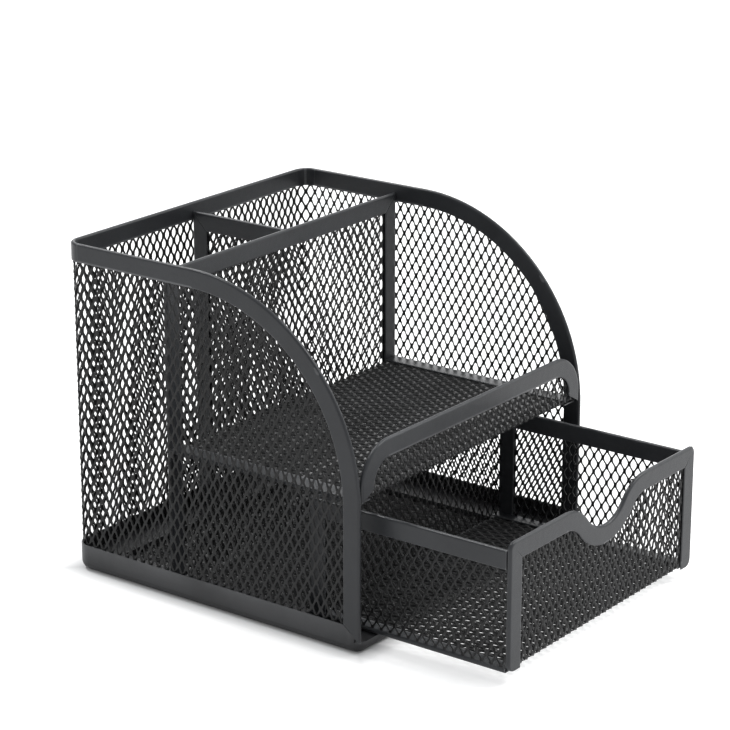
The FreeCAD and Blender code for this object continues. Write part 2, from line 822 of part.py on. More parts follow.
def build():
    wall = rim_thickness / 2
    side_rim("left_side_rim", wall - half_width)
    side_rim("right_side_rim", half_width - wall)
    side_mesh("left_side_mesh", mesh_inset - half_width)
    side_mesh("right_side_mesh", half_width - mesh_inset - mesh_gauge)
    back_rim()
    back_mesh()
    base_frame()
    floor_mesh()
    divider()
    pen_partition()
    note_lip()
    note_shelf()
    drawer_face()
    drawer_floor()
    drawer_sides()
    drawer_back_wall()
    doc.recompute()


def test_objects():
    for item in doc.Objects:
        if "Invalid" in item.State or "Error" in item.State:
            raise RuntimeError(f"{item.Name} failed: {item.State}")
    for piece in sub_parts():
        if piece.Shape.isNull() or not piece.Shape.isValid():
            raise RuntimeError(f"{piece.Label} has no valid shape")


def write_parts():
    os.makedirs("parts", exist_ok=True)
    for piece in sub_parts():
        piece.Shape.exportStep(os.path.join("parts", f"{piece.Label}.step"))
        print(piece.Label, len(piece.Shape.Solids), "solid", round(piece.Shape.Volume, 1), "mm3")


build()
test_objects()
write_parts()
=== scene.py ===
import math

import bmesh
import bpy
import numpy as np
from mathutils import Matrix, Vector


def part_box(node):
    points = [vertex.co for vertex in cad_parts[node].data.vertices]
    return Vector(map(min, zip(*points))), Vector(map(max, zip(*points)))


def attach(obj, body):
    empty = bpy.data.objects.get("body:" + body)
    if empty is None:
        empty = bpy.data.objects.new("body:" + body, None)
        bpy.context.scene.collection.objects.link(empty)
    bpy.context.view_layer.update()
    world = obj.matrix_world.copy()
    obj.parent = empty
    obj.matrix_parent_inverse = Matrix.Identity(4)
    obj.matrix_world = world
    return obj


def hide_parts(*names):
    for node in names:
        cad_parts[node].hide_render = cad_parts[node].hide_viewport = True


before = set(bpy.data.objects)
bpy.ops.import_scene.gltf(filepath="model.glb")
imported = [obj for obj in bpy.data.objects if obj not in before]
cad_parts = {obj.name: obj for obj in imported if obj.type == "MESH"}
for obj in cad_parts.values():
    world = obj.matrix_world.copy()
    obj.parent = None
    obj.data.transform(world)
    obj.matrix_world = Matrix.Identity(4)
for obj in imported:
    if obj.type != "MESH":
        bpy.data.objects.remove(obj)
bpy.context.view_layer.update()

# A pen stand of black powder-coated steel, in metres. Panels of expanded mesh are bound with folded
# strips. +Z is up, the drawer pulls out towards -Y, and the whole sits on the floor at z = 0.

MM = 0.001

# Expanded mesh: the openings stand on their points, and each strand is turned in the sheet.
OPENING_PITCH = 3.46 * MM       # sideways, from one opening to the next
OPENING_RISE = 5.85 * MM        # up and down, from one opening to the next
OPENING_HALF_WIDTH = 1.14 * MM
OPENING_HALF_LENGTH = 2.12 * MM
OPENING_POWER = 1.5             # 1 is an ellipse, 2 a diamond
STRAND_GAUGE = 0.34 * MM
STRAND_SWING = 0.12 * MM        # how far a strand swings out of the sheet between two bonds
BOND_TURN = 0.35                # turn of a bond, as a share of the strands' turn
STEPS_PER_SIDE = 3              # points along each of the four sides of an opening
HALF_PITCH = OPENING_PITCH / 2
HALF_RISE = OPENING_RISE / 2

# Folded strips.
SHEET_GAUGE = 0.4 * MM
STRIP_WIDTH = 6.2 * MM
HEM_WIDTH = 5.0 * MM
FOLD_RADIUS = 0.75 * MM
RAW_EDGE_RADIUS = 0.12 * MM
HIGHLIGHT_REACH = 0.35 * MM          # how far the painted highlight of an edge reaches on to the flat beside it
LONG_RUN = 6 * HIGHLIGHT_REACH       # a straight run longer than this gets the painted edge highlight at its ends alone
SEAM_HALF = 0.16 * MM           # half the width of the groove where two strips are mitred
SEAM_DEPTH = 0.11 * MM
POST_SINK = 0.1 * MM            # outer end of a post's foot, pressed on the base flange
POST_SLIT = 0.3 * MM            # inner end of that foot, clear of the skirt
LIP_FOOT_RISE = 3.5 * MM        # inner end of the note lip's feet above their outer end
SIDE_MESH_TUCK = 0.6 * MM       # how far the mesh of a drawer side runs down into its hem
ARC_STEP = math.radians(3.0)
FOLD_STEPS = 6                  # steps round half a fold
FOOT_STEPS = 8                  # steps round the foot of a strip
MERGE_WITHIN = 0.001 * MM       # points nearer than this are one
SHARP_FROM = math.radians(50)   # edges sharper than this aren't smoothed
STRAIGHT_ON = 0.999             # cosine between two headings, above which there is no bend

# Curves of the sides, the lip, the drawer front and the bends.
SHOULDER_RADIUS = 66 * MM
BACK_CORNER_RADIUS = 6 * MM
LIP_CORNER_RADIUS = 14 * MM
LIP_BEND_RADIUS = 2 * MM
DRAWER_BEND_RADIUS = 1.3 * MM
DRAWER_CORNER_RADIUS = 2.5 * MM
NOTCH_DEPTH = 10.8 * MM
NOTCH_RADIUS = 14 * MM
HUMP_RADIUS = 16 * MM

# Turn of the strands in each sheet: how far a strand rises for each unit across it.
LEFT_SIDE_TURN = 0.6
RIGHT_SIDE_TURN = -0.8
BACK_TURN = -0.8
DIVIDER_TURN = -0.5
PARTITION_TURN = 0.8
FLOOR_TURN = 2.0
LIP_TURN = -0.8
SHELF_TURN = -2.0
DRAWER_FRONT_TURN = 0.6
DRAWER_FLOOR_TURN = -2.0
DRAWER_SIDE_TURN = 0.85
DRAWER_BACK_TURN = -0.8


# Places and sizes that the frame gives.
side_low, side_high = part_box("right_side_rim")
rim_thickness = side_high.x - side_low.x
half_width = side_high.x
front_y, corner_y = side_low.y, side_high.y
body_top = side_high.z
back_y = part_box("back_rim")[1].y
skirt_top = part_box("base_frame")[1].z
shoulder_y, shoulder_z = front_y + SHOULDER_RADIUS, body_top - SHOULDER_RADIUS


# ---------------------------------------------------------------- finishes

class Signal:
    """A shader socket that takes part in ordinary arithmetic."""

    def __init__(self, finish, socket):
        self.finish = finish
        self.socket = socket

    def maths(self, operation, *others):
        values = dict(enumerate((self,) + others))
        return self.finish.node("ShaderNodeMath", {"operation": operation}, values)

    def __add__(self, other):
        return self.maths("ADD", other)

    def __sub__(self, other):
        return self.maths("SUBTRACT", other)

    def __rsub__(self, other):
        return self.finish.node("ShaderNodeMath", {"operation": "SUBTRACT"}, {0: other, 1: self})

    def __mul__(self, other):
        return self.maths("MULTIPLY", other)

    __radd__ = __add__
    __rmul__ = __mul__

    def size(self):
        """The value without its sign."""
        return self.maths("ABSOLUTE")

    def larger(self, other):
        return self.maths("MAXIMUM", other)

    def within(self, low, high):
        """0 below low, 1 above high and a smooth rise between them."""
        settings = {"interpolation_type": "SMOOTHSTEP"}
        sockets = {"Value": self, "From Min": low, "From Max": high}
        return self.finish.node("ShaderNodeMapRange", settings, sockets)


# Sockets of a Mix node that mixes colours, by number because its other kinds share their names.
MIX_SHARE, MIX_FIRST, MIX_SECOND, MIX_RESULT = 0, 6, 7, 2
EDGE_BAND = (0.515, 0.60)       # how sharp an outward edge begins to get the painted highlight, and gets it fully


class Finish:
    """One finish: a Principled shader and the nodes that drive it."""

    def __init__(self, name):
        self.material = bpy.data.materials.new(name)
        self.material.use_nodes = True
        self.tree = self.material.node_tree
        self.shader = self.tree.nodes["Principled BSDF"]

    def feed(self, socket, value):
        if isinstance(value, Signal):
            self.tree.links.new(value.socket, socket)
        else:
            socket.default_value = value

    def node(self, kind, settings, sockets, output=0):
        """A node of that type: its settings are set first, then its sockets are given or linked."""
        made = self.tree.nodes.new(kind)
        for field, value in settings.items():
            setattr(made, field, value)
        for key, value in sockets.items():
            self.feed(made.inputs[key], value)
        return Signal(self, made.outputs[output])

    def place(self):
        """Where on the object a point is, in metres."""
        return self.node("ShaderNodeTexCoord", {}, {}, "Object")

    def axis(self, letter):
        return self.node("ShaderNodeSeparateXYZ", {}, {"Vector": self.place()}, letter)

    def edges(self):
        """1 on the outward folds and edges of a piece, 0 on its flats and in its hollows."""
        sharpness = self.node("ShaderNodeNewGeometry", {}, {}, "Pointiness")
        return sharpness.within(*EDGE_BAND)

    def noise(self, per_metre, detail=2.0, roughness=0.5):
        sockets = {"Vector": self.place(), "Scale": per_metre, "Detail": detail, "Roughness": roughness}
        return self.node("ShaderNodeTexNoise", {}, sockets)

    def blend(self, share, first, second):
        """A colour between two others."""
        sockets = {MIX_SHARE: share, MIX_FIRST: first, MIX_SECOND: second}
        return self.node("ShaderNodeMix", {"data_type": "RGBA"}, sockets, MIX_RESULT)

    def bump(self, height, distance):
        """A surface normal for a relief that is distance deep where height goes from 0 to 1."""
        return self.node("ShaderNodeBump", {}, {"Height": height, "Distance": distance})

    def set(self, **sockets):
        """Gives the shader's sockets, their names written with _ for a space, values or links."""
        for name, value in sockets.items():
            self.feed(self.shader.inputs[name.replace("_", " ")], value)


# Colour of the painted highlight on the outward folds and edges, not wear of the coat.
HIGHLIGHT_COLOUR = (0.085, 0.087, 0.090)
COAT_IOR = 1.34
PEBBLES_PER_METRE, RIPPLES_PER_METRE, CLOUDS_PER_METRE = 5200, 420, 38
CREST_BAND = (0.52, 0.80)       # where the pebbles are high enough to be pale
DUST_BAND = (0.35, 0.75)        # where the clouds are pale
HIGHLIGHT_CLOUD_BAND = (0.25, 0.65)         # where the clouds make the painted highlight of an edge stronger
CLOUD_SHARE = 0.45              # of the pale colour; the crests have the rest
EVEN_HIGHLIGHT = 0.4                 # painted highlight of an edge outside the clouds
CLOUD_GLOSS, PEBBLE_GLOSS, HIGHLIGHT_GLOSS = 0.10, 0.10, 0.08
RIPPLE_HEIGHT = 1.6             # of the ripples, where that of the pebbles is 1


def powder_coat(name, tint, pale, gloss, grain_height, edge_highlight):
    """Black powder coat: a fine pebbled skin, thin and pale on the crests, with a paler colour painted
    along the outward edges as a highlight.
    """
    finish = Finish(name)
    pebbles = finish.noise(PEBBLES_PER_METRE, detail=3.0, roughness=0.6)
    ripples = finish.noise(RIPPLES_PER_METRE, detail=2.0)
    clouds = finish.noise(CLOUDS_PER_METRE, detail=3.0, roughness=0.6)
    crests = pebbles.within(*CREST_BAND)
    dusting = clouds.within(*DUST_BAND) * CLOUD_SHARE + crests * (1 - CLOUD_SHARE)
    # Painted highlight: the outward folds and edges are painted a paler colour and made glossier.
    painted_highlight = finish.edges() * (clouds.within(*HIGHLIGHT_CLOUD_BAND) * (1 - EVEN_HIGHLIGHT) + EVEN_HIGHLIGHT) * edge_highlight
    coat = finish.blend(dusting, tint + (1,), pale + (1,))
    finish.set(
        Base_Color=finish.blend(painted_highlight, coat, HIGHLIGHT_COLOUR + (1,)),
        Roughness=gloss + clouds * CLOUD_GLOSS + pebbles * PEBBLE_GLOSS - painted_highlight * HIGHLIGHT_GLOSS,
        Normal=finish.bump(pebbles + ripples * RIPPLE_HEIGHT, grain_height),
        IOR=COAT_IOR,
    )
    return finish.material


FINISHES = {
    "rims": powder_coat(
        "satin_black_strip",
        tint=(0.019, 0.020, 0.022),
        pale=(0.032, 0.034, 0.037),
        gloss=0.24,
        grain_height=0.03 * MM,
        edge_highlight=0.9,
    ),
    "mesh": powder_coat(
        "satin_black_mesh",
        tint=(0.006, 0.006, 0.006),
        pale=(0.017, 0.017, 0.018),
        gloss=0.27,
        grain_height=0.02 * MM,
        edge_highlight=0.2,
    ),
    "base": powder_coat(
        "satin_black_base",
        tint=(0.016, 0.016, 0.017),
        pale=(0.030, 0.030, 0.032),
        gloss=0.34,
        grain_height=0.03 * MM,
        edge_highlight=0.7,
    ),
}


def finished(piece, slot, body):
    """Coats a piece with the finish of its slot and lets it ride on its body."""
    piece.data.materials.append(FINISHES[slot])
    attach(piece, body)
    return piece


def linked(name, data):
    """An object in the scene for a mesh, a lamp or a camera."""
    made = bpy.data.objects.new(name, data)
    bpy.context.scene.collection.objects.link(made)
    return made


# ---------------------------------------------------------------- expanded mesh

# Half the section of a strand, from its middle line to the edge of the opening: (how far out, how high).
STRAND_SECTION = ((0.0, 1.0), (0.84, 0.96), (1.0, 0.62), (1.0, -0.62), (0.84, -0.96), (0.0, -1.0))


def signed_power(value, power):
    return math.copysign(abs(value) ** power, value)


def opening_rings(turn):
    """Round one opening: the strands' middle lines, its edge, and the way square on the strands' faces.

    All three start at the right-hand bond and run anticlockwise, with the depth as third column."""
    corners = [(HALF_PITCH, 0), (0, HALF_RISE), (-HALF_PITCH, 0), (0, -HALF_RISE)]
    # Signs with which two neighbours agree on how the strand between them swings.
    swings = (-1, -1, 1, 1)
    lines, edges = [], []
    for side in range(4):
        start, end = np.array(corners[side]), np.array(corners[(side + 1) % 4])
        for step in range(STEPS_PER_SIDE):
            share = step / STEPS_PER_SIDE
            at = start + (end - start) * share
            angle = (side + share) * math.pi / 2
            edge_x = OPENING_HALF_WIDTH * signed_power(math.cos(angle), OPENING_POWER)
            edge_up = OPENING_HALF_LENGTH * signed_power(math.sin(angle), OPENING_POWER)
            swing = swings[side] * math.sin(2 * math.pi * share) * STRAND_SWING
            own_turn = turn if step else turn * BOND_TURN
            lines.append((at[0], at[1], swing))
            edges.append((edge_x, edge_up, swing + own_turn * (edge_x - at[0])))
    lines, edges = np.array(lines), np.array(edges)
    across = edges - lines
    flat = np.hypot(across[:, 0], across[:, 1])[:, None]
    square = np.hstack([-across[:, :2] * across[:, 2:] / flat, flat])
    return lines, edges, square / np.linalg.norm(square, axis=1)[:, None]


def opening_cells(low, high, keep):
    """Whole numbers (across, up) of the openings between two corners whose four points pass keep."""
    first_across, last_across = math.floor(low[0] / HALF_PITCH) - 1, math.ceil(high[0] / HALF_PITCH) + 1
    first_up, last_up = math.floor(low[1] / HALF_RISE) - 1, math.ceil(high[1] / HALF_RISE) + 1
    across, up = np.meshgrid(np.arange(first_across, last_across + 1), np.arange(first_up, last_up + 1))
    across, up = across.ravel(), up.ravel()
    staggered = (across + up) % 2 == 0
    across, up = across[staggered], up[staggered]
    kept = np.ones(len(across), bool)
    for right, above in ((1, 0), (0, 1), (-1, 0), (0, -1)):
        kept &= keep((across + right) * HALF_PITCH, (up + above) * HALF_RISE)
    return across[kept], up[kept]


def sheet_of_openings(low, high, keep, turn):
    """Vertices (across, up, depth) and faces of a flat expanded sheet."""
    across, up = opening_cells(low, high, keep)
    lines, edges, square = opening_rings(turn)
    count, around = len(across), len(lines)
    centres = np.stack([across * HALF_PITCH, up * HALF_RISE, np.zeros(count)], 1)
    half = STRAND_GAUGE / 2

    # The two middle-line rings are shared between neighbours, so they are numbered by place.
    places = (centres[:, None, :2] + lines[None, :, :2]).reshape(-1, 2)
    keys = np.round(places / [HALF_PITCH / STEPS_PER_SIDE, HALF_RISE / STEPS_PER_SIDE]).astype(int)
    _, first, shared = np.unique(keys, axis=0, return_index=True, return_inverse=True)
    swings = np.tile(lines[:, 2], count)
    middle = np.column_stack([places, swings])[first]
    thickness = np.tile(square, (count, 1))[first] * half
    front, back = middle + thickness, middle - thickness
    shared = shared.reshape(count, around)
    rings, vertices, used = [shared], [front, back], len(front) * 2
    for out, height in STRAND_SECTION[1:-1]:
        ring = lines + (edges - lines) * out + square * height * half
        vertices.append((centres[:, None, :] + ring[None]).reshape(-1, 3))
        rings.append(used + np.arange(count * around).reshape(count, around))
        used += count * around
    rings.append(shared + len(front))

    faces = []
    for upper, lower in zip(rings, rings[1:]):
        band = [upper, np.roll(upper, -1, 1), np.roll(lower, -1, 1), lower]
        faces.append(np.stack(band, 2).reshape(-1, 4))
    return np.concatenate(vertices), np.concatenate(faces)


def trimmed(vertices, faces, low, high):
    """The sheet cut off straight at its four sides, with the cut strands closed."""
    mesh = bpy.data.meshes.new("sheet")
    mesh.from_pydata(vertices.tolist(), [], faces.tolist())
    work = bmesh.new()
    work.from_mesh(mesh)
    cuts = [((low[0], 0, 0), (-1, 0, 0)), ((high[0], 0, 0), (1, 0, 0)),
            ((0, low[1], 0), (0, -1, 0)), ((0, high[1], 0), (0, 1, 0))]
    for point, normal in cuts:
        everything = work.verts[:] + work.edges[:] + work.faces[:]
        done = bmesh.ops.bisect_plane(
            work, geom=everything, plane_co=point, plane_no=normal, clear_outer=True)
        cut_edges = [item for item in done["geom_cut"] if isinstance(item, bmesh.types.BMEdge)]
        ends = [edge for edge in cut_edges if edge.is_boundary]
        bmesh.ops.holes_fill(work, edges=ends, sides=0)
    work.to_mesh(mesh)
    work.free()
    return mesh


def near_sheet(low, high):
    """Keeps the openings inside a flat rectangle and one opening round it."""
    def keep(across, up):
        beside = (across > low[0] - OPENING_PITCH) & (across < high[0] + OPENING_PITCH)
        return beside & (up > low[1] - OPENING_RISE) & (up < high[1] + OPENING_RISE)
    return keep


def panel(word, body, low, high, place, turn, keep=None):
    """An expanded panel in place of a node named WORD_mesh, between two corners of its flat sheet.

    place(across, up, depth) sets it in space, and keep(across, up) is true inside its outline."""
    vertices, faces = sheet_of_openings(low, high, keep or near_sheet(low, high), turn)
    mesh = trimmed(vertices, faces, low, high)
    flat = np.empty(len(mesh.vertices) * 3)
    mesh.vertices.foreach_get("co", flat)
    placed = np.broadcast_arrays(*place(*flat.reshape(-1, 3).T))
    mesh.vertices.foreach_set("co", np.stack(placed, 1).ravel())
    mesh.polygons.foreach_set("use_smooth", np.ones(len(mesh.polygons), bool))
    mesh.update()
    piece = finished(linked(f"{word}_panel", mesh), "mesh", body)
    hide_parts(f"{word}_mesh")


# ---------------------------------------------------------------- outlines and paths

def arc_through(start, end, radius):
    """Centre, first angle and turn of the short arc between two points; radius > 0 turns left."""
    chord = end - start
    reach = math.sqrt(max(radius * radius - chord.length_squared / 4, 0))
    left = Vector((-chord.y, chord.x)).normalized()
    centre = (start + end) / 2 + left * math.copysign(reach, radius)
    first = math.atan2(start.y - centre.y, start.x - centre.x)
    last = math.atan2(end.y - centre.y, end.x - centre.x)
    turn = (last - first) % math.tau if radius > 0 else -((first - last) % math.tau)
    return centre, first, turn


class Stretch:
    """A straight or round stretch of a line: points with the direction there, and an arc's centre."""

    def __init__(self, points, centre=None, radius=math.inf):
        self.points = points
        self.centre = centre
        self.radius = abs(radius)

    def heading(self, end):
        return self.points[end][1]


def traced(corners):
    """The stretches of a line of corners, each (across, up), or (across, up, radius) where an arc ends."""
    stretches = []
    for corner, following in zip(corners, corners[1:]):
        start, end = Vector(corner[:2]), Vector(following[:2])
        if len(following) == 2:
            along = (end - start).normalized()
            stretches.append(Stretch([(start, along), (end, along)]))
            continue
        radius = following[2]
        centre, first, turn = arc_through(start, end, radius)
        steps = max(2, math.ceil(abs(turn) / ARC_STEP))
        points = []
        for step in range(steps + 1):
            angle = first + turn * step / steps
            spoke = Vector((math.cos(angle), math.sin(angle)))
            along = Vector((-spoke.y, spoke.x)) * math.copysign(1, radius)
            points.append((centre + spoke * abs(radius), along))
        stretches.append(Stretch(points, centre, radius))
    return stretches


def strip_section(width, crease=None):
    """Section of a strip folded over a sheet: (distance in from the fold, height), a closed ring.

    Its last four points are the walls of the slot. A crease adds a point at that distance."""
    half, wall = rim_thickness / 2, SHEET_GAUGE
    edge = RAW_EDGE_RADIUS
    upper = [(width, half - wall + edge / 2), (width, half - edge), (width - edge, half)]
    # Rows of points beside the folds and the raw edge keep the painted highlight of those edges narrow.
    rows = [crease] if crease else []
    for reach in (HIGHLIGHT_REACH, 2 * HIGHLIGHT_REACH):
        rows += [width - edge - reach, FOLD_RADIUS + reach]
    upper.extend((inward, half) for inward in sorted(rows, reverse=True))
    for step in range(FOLD_STEPS + 1):
        angle = math.pi / 2 * step / FOLD_STEPS
        upper.append((FOLD_RADIUS * (1 - math.sin(angle)), half - FOLD_RADIUS * (1 - math.cos(angle))))
    lower = [(inward, -height) for inward, height in reversed(upper)]
    inner = [
        (width - edge, wall - half),
        (wall, wall - half),
        (wall, half - wall),
        (width - edge, half - wall),
    ]
    return upper + lower + inner


def swept(name, stations, section, to_space):
    """Sweeps a section, a ring of (distance in, height), along stations that say where each point goes."""
    around = len(section)
    rings = []
    for station in stations:
        ring = np.array([to_space(*station(inward, height)) for inward, height in section])
        length = np.linalg.norm(ring - rings[-1], axis=1).max() if rings else 0
        if length > LONG_RUN:
            # Rings near the ends of a long run keep the painted highlight of those ends narrow.
            step = (ring - rings[-1]) * HIGHLIGHT_REACH / length
            start = rings[-1]
            rings += [start + step, start + step * 2, ring - step * 2, ring - step]
        rings.append(ring)
    vertices = np.concatenate(rings).tolist()
    faces = []
    for place in range(len(rings) - 1):
        for corner in range(around):
            after = (corner + 1) % around
            first, second = place * around, (place + 1) * around
            faces.append((first + corner, second + corner, second + after, first + after))
    last = (len(rings) - 1) * around
    faces.append(tuple(reversed(range(around))))
    faces.append(tuple(range(last, last + around)))
    mesh = bpy.data.meshes.new(name)
    mesh.from_pydata(vertices, [], faces)
    work = bmesh.new()
    work.from_mesh(mesh)
    bmesh.ops.remove_doubles(work, verts=work.verts, dist=MERGE_WITHIN)
    bmesh.ops.recalc_face_normals(work, faces=work.faces)
    work.to_mesh(mesh)
    work.free()
    mesh.polygons.foreach_set("use_smooth", np.ones(len(mesh.polygons), bool))
    mesh.set_sharp_from_angle(angle=SHARP_FROM)
    mesh.update()
    return linked(name, mesh)


def in_seam(height, seam):
    """The height of a point that lies in the groove of a mitre, where seam is 1, or beside it."""
    return height - math.copysign(min(abs(height), SEAM_DEPTH), height) * seam


def square_station(point, inward, seam=0.0):
    """A ring straight across the strip."""
    def at(depth, height):
        place = point + inward * (depth + SEAM_DEPTH * seam * (depth < FOLD_RADIUS))
        return place.x, place.y, in_seam(height, seam)
    return at


def pinched_station(point, inward, pinch, width):
    """A ring whose fold is drawn in and whose inner edge stays."""
    def at(depth, height):
        place = point + inward * (pinch + depth * (width - pinch) / width)
        return place.x, place.y, height
    return at


def corner_station(stretch, point, mitre, aside, seam):
    """A ring in a corner that is rounder at its fold than the strip is wide, with a mitre inside."""
    def at(depth, height):
        if depth <= stretch.radius:
            place = point.lerp(stretch.centre, depth / stretch.radius)
            return place.x, place.y, height
        place = stretch.centre + mitre * (depth - stretch.radius) + aside
        return place.x, place.y, in_seam(height, seam)
    return at


def mitre_between(first, second):
    """The way a mitre runs between two stretches, as long as one unit across either of them needs."""
    return (first + second) / (1 + first.dot(second))


def rounded_corner(stretch, inwards):
    """The rings of a corner that is rounder at its fold than the strip is wide."""
    first, last = stretch.heading(0), stretch.heading(-1)
    mitre = mitre_between(inwards(first), inwards(last))
    asides = {0: first * -SEAM_HALF, len(stretch.points) - 1: last * SEAM_HALF}
    stations = []
    for place, (point, _) in enumerate(stretch.points):
        aside = asides.get(place, Vector((0, 0)))
        stations.append(corner_station(stretch, point, mitre, aside, 0.0 if place in asides else 1.0))
    return stations


def foot(point, upwards, inward, width, slant, radius):
    """The rings at one end of a strip, from its end up: cut square, slanted or rounded."""
    if not radius:
        return [square_station(point, inward + upwards * slant)]
    stations = []
    for step in range(FOOT_STEPS + 1):
        angle = math.pi / 2 * step / FOOT_STEPS
        rise, pinch = radius * (1 - math.cos(angle)), radius * (1 - math.sin(angle))
        stations.append(pinched_station(point + upwards * rise, inward, pinch, width))
    return stations


def stations_along(corners, inner_side, width, slant=0.0, foot_radius=0.0):
    """Stations of a strip whose fold follows the corners, with a groove at each mitred corner.

    inner_side is 1 where the sheet lies to the left of the line, and -1 where it lies to the right.
    slant is how far both ends rise for each unit inwards."""
    def inwards(along):
        return Vector((-along.y, along.x)) * inner_side

    stretches = traced(corners)
    tight = [stretch.radius < width for stretch in stretches]
    stations = []
    for number, stretch in enumerate(stretches):
        if tight[number]:
            stations += rounded_corner(stretch, inwards)
            continue
        last_place = len(stretch.points) - 1
        for place, (point, along) in enumerate(stretch.points):
            inward = inwards(along)
            if place == 0 and number == 0:
                stations += foot(point, along, inward, width, slant, foot_radius)
            elif place == last_place and number == len(stretches) - 1:
                stations += reversed(foot(point, -along, inward, width, slant, foot_radius))
            elif place == 0:
                before = stretches[number - 1].heading(-1)
                if tight[number - 1] or before.dot(along) > STRAIGHT_ON:
                    continue
                mitre = mitre_between(inwards(before), inward)
                stations.append(square_station(point, mitre, seam=1.0))
                stations.append(square_station(point + along * SEAM_HALF, mitre))
            elif place == last_place:
                after = stretches[number + 1].heading(0)
                if tight[number + 1]:
                    continue
                mitre = mitre_between(inward, inwards(after))
                pulled = SEAM_HALF if after.dot(along) < STRAIGHT_ON else 0.0
                stations.append(square_station(point - along * pulled, mitre))
            else:
                stations.append(square_station(point, inward))
    return stations


def swept_strip(name, node, body, stations, section, to_space):
    """A folded strip in place of its node, its section swept along stations."""
    piece = finished(swept(name, stations, section, to_space), "rims", body)
    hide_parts(node)


def strip(name, node, body, corners, to_space, inner_side=-1, width=STRIP_WIDTH, slant=0.0,
          foot_radius=0.0, crease=None):
    """A folded strip along a line of corners."""
    stations = stations_along(corners, inner_side, width, slant, foot_radius)
    swept_strip(name, node, body, stations, strip_section(width, crease), to_space)


# ---------------------------------------------------------------- placing

def upright_x(x):
    """Places a sheet that stands across the x axis: across is y, up is z, depth is x."""
    return lambda across, up, depth: (x + depth, across, up)


def upright_y(y):
    """Places a sheet that stands across the y axis and looks towards -y."""
    return lambda across, up, depth: (across, y - depth, up)


def level_z(z):
    """Places a sheet that lies level: across is x, up is y, depth is z."""
    return lambda across, up, depth: (across, up, z + depth)


def bent_place(front, level, radius):
    """Places a sheet that is level at the back, bends up at the front and then stands.

    Across is x; up is measured along the sheet, 0 where the bend ends and the upright part starts."""
    quarter = radius * math.pi / 2

    def place(across, up, depth):
        angle = np.clip(-up / radius, 0, math.pi / 2)
        beyond = np.maximum(-up - quarter, 0)
        out_y, out_z = -np.cos(angle), -np.sin(angle)
        y = front + radius + (radius + depth) * out_y + beyond
        z = level + radius + (radius + depth) * out_z + np.maximum(up, 0)
        return across, y, z

    return place, quarter


def bent_panels(front, level_part, body, middle_y, radius, keep, front_turn, level_turn):
    """A sheet that lies level and bends up at its front, in two panels that meet behind the bend.

    keep(across, height) is true inside the outline of its upright part."""
    front_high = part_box(f"{front}_mesh")[1]
    level_low, level_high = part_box(f"{level_part}_mesh")
    level = (level_low.z + level_high.z) / 2
    place, quarter = bent_place(middle_y, level, radius)
    turned = level + radius
    length = level_high.y - middle_y - radius
    panel(front, body, (-front_high.x, -quarter), (front_high.x, front_high.z - turned), place, front_turn,
          lambda across, up: keep(across, up + turned))
    panel(level_part, body, (-level_high.x, -quarter - length), (level_high.x, -quarter), place, level_turn)


# ---------------------------------------------------------------- housing

def side_stations(corners, slant):
    """Stations of a side's strip: its foot is cut on a slant and its back end square."""
    stations = stations_along(corners, -1, STRIP_WIDTH, slant)
    stations[-1] = square_station(Vector(corners[-1]), Vector((0, -1)))
    return stations


def side_strips():
    for word in ("left", "right"):
        low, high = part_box(f"{word}_side_rim")
        middle = (low.x + high.x) / 2
        foot_z = low.z - POST_SINK
        slant = (skirt_top + POST_SLIT - foot_z) / STRIP_WIDTH
        corners = [
            (front_y, foot_z),
            (front_y, shoulder_z),
            (shoulder_y, body_top, -SHOULDER_RADIUS),
            (corner_y, body_top),
        ]
        post = side_stations(corners, slant)
        swept_strip(f"{word}_side_strip", f"{word}_side_rim", "housing", post,
                    strip_section(STRIP_WIDTH), upright_x(middle))


def wrap_path(inset):
    """The plan line of the sides and the back, unrolled from the left front to the right front.

    Gives the lengths where its stretches end, and at(length), the point and outward direction there."""
    radius = BACK_CORNER_RADIUS - inset
    quarter = math.pi / 2 * radius
    side_run = corner_y - front_y
    back_run = (half_width - BACK_CORNER_RADIUS) * 2
    turn_x = half_width - BACK_CORNER_RADIUS
    ends = np.cumsum([side_run, quarter, back_run, quarter, side_run])

    def at(across):
        x, y, out_x, out_y = (np.zeros_like(across) for _ in range(4))
        stretch = np.searchsorted(ends, across).clip(0, 4)
        left, bend_left, back, bend_right, right = (stretch == number for number in range(5))
        x[left], y[left], out_x[left] = inset - half_width, front_y + across[left], -1
        for where, begin, first_angle, centre_x in (
            (bend_left, ends[0], math.pi, -turn_x),
            (bend_right, ends[2], math.pi / 2, turn_x),
        ):
            angle = first_angle - (across[where] - begin) / radius
            out_x[where], out_y[where] = np.cos(angle), np.sin(angle)
            x[where], y[where] = centre_x + radius * out_x[where], corner_y + radius * out_y[where]
        x[back], y[back], out_y[back] = across[back] - ends[1] - turn_x, back_y - inset, 1
        x[right], out_x[right] = half_width - inset, 1
        y[right] = corner_y - (across[right] - ends[3])
        return x, y, out_x, out_y

    return ends, at


def wrap_panels():
    """Left side, back and right side: one wrapped sheet, in three pieces that meet beyond the bends."""
    low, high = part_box("left_side_mesh")
    inset = half_width + (low.x + high.x) / 2
    ends, at = wrap_path(inset)

    def place(across, up, depth):
        x, y, out_x, out_y = at(across)
        return x + out_x * depth, y + out_y * depth, up

    front_inset = low.y - front_y
    reach = SHOULDER_RADIUS - front_inset

    def under_shoulder(from_front, up):
        """Inside the quarter-round of a side, whose sheet ends a little inside the strip."""
        along, above = SHOULDER_RADIUS - from_front, up - shoulder_z
        return (along < 0) | (above < 0) | (along ** 2 + above ** 2 < reach ** 2)

    spans = {
        "left_side": (front_inset, ends[0], LEFT_SIDE_TURN),
        "back": (ends[0], ends[3], BACK_TURN),
        "right_side": (ends[3], ends[4] - front_inset, RIGHT_SIDE_TURN),
    }
    for word, (start, end, turn) in spans.items():
        near = near_sheet((start, low.z), (end, high.z))

        def keep(across, up):
            return near(across, up) & under_shoulder(np.minimum(across, ends[4] - across), up)

        panel(word, "housing", (start, low.z), (end, high.z), place, turn, keep)


